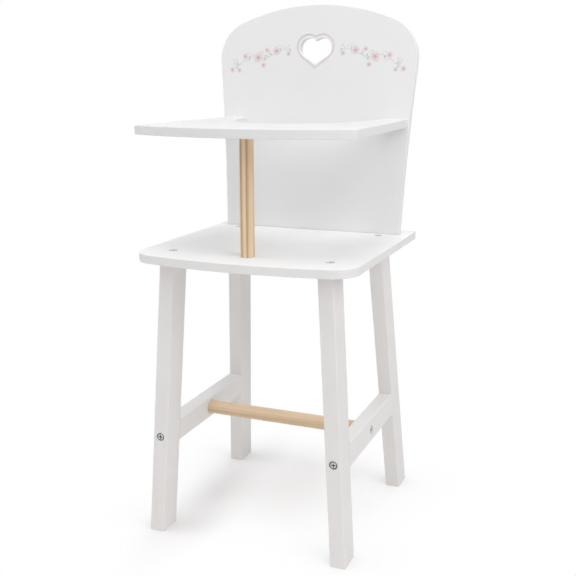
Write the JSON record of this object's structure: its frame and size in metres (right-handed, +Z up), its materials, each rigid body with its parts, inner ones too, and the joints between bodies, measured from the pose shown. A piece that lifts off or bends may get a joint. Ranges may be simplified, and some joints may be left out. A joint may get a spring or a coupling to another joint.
{
  "type": "doll high chair",
  "caption": "Doll high chair of white boards on splayed legs, with a U-shaped tray on a pine post, a footrest bar and a tall backrest with a heart-shaped opening.",
  "frame": {"origin": "on the floor, in the middle of the chair's width and depth", "axes": "+Z up, the tray side faces -Y, +X to the right as seen from the front"},
  "size_m": [0.2484, 0.2687, 0.5902],
  "materials": {
    "white_board": "satin white paint on board",
    "pine_dowel": "clear lacquered pine",
    "steel_screw": "zinc plated",
    "wooden_pin": "plain hardwood"
  },
  "bodies": {
    "root": {"seat": "white_board", "backrest": "white_board", "tray": "white_board", "tray_post": "pine_dowel", "front_left_leg": "white_board", "front_right_leg": "white_board", "rear_left_leg": "white_board", "rear_right_leg": "white_board", "left_rail": "white_board", "right_rail": "white_board", "footrest_bar": "pine_dowel", "seat_screws": "steel_screw", "rail_screws": "steel_screw", "bar_screws": "steel_screw", "post_screw": "steel_screw", "backrest_screws": "steel_screw", "tray_screws": "steel_screw", "leg_pins": "wooden_pin", "rail_pins": "wooden_pin", "backrest_pins": "wooden_pin"}
  },
  "joints": []
}
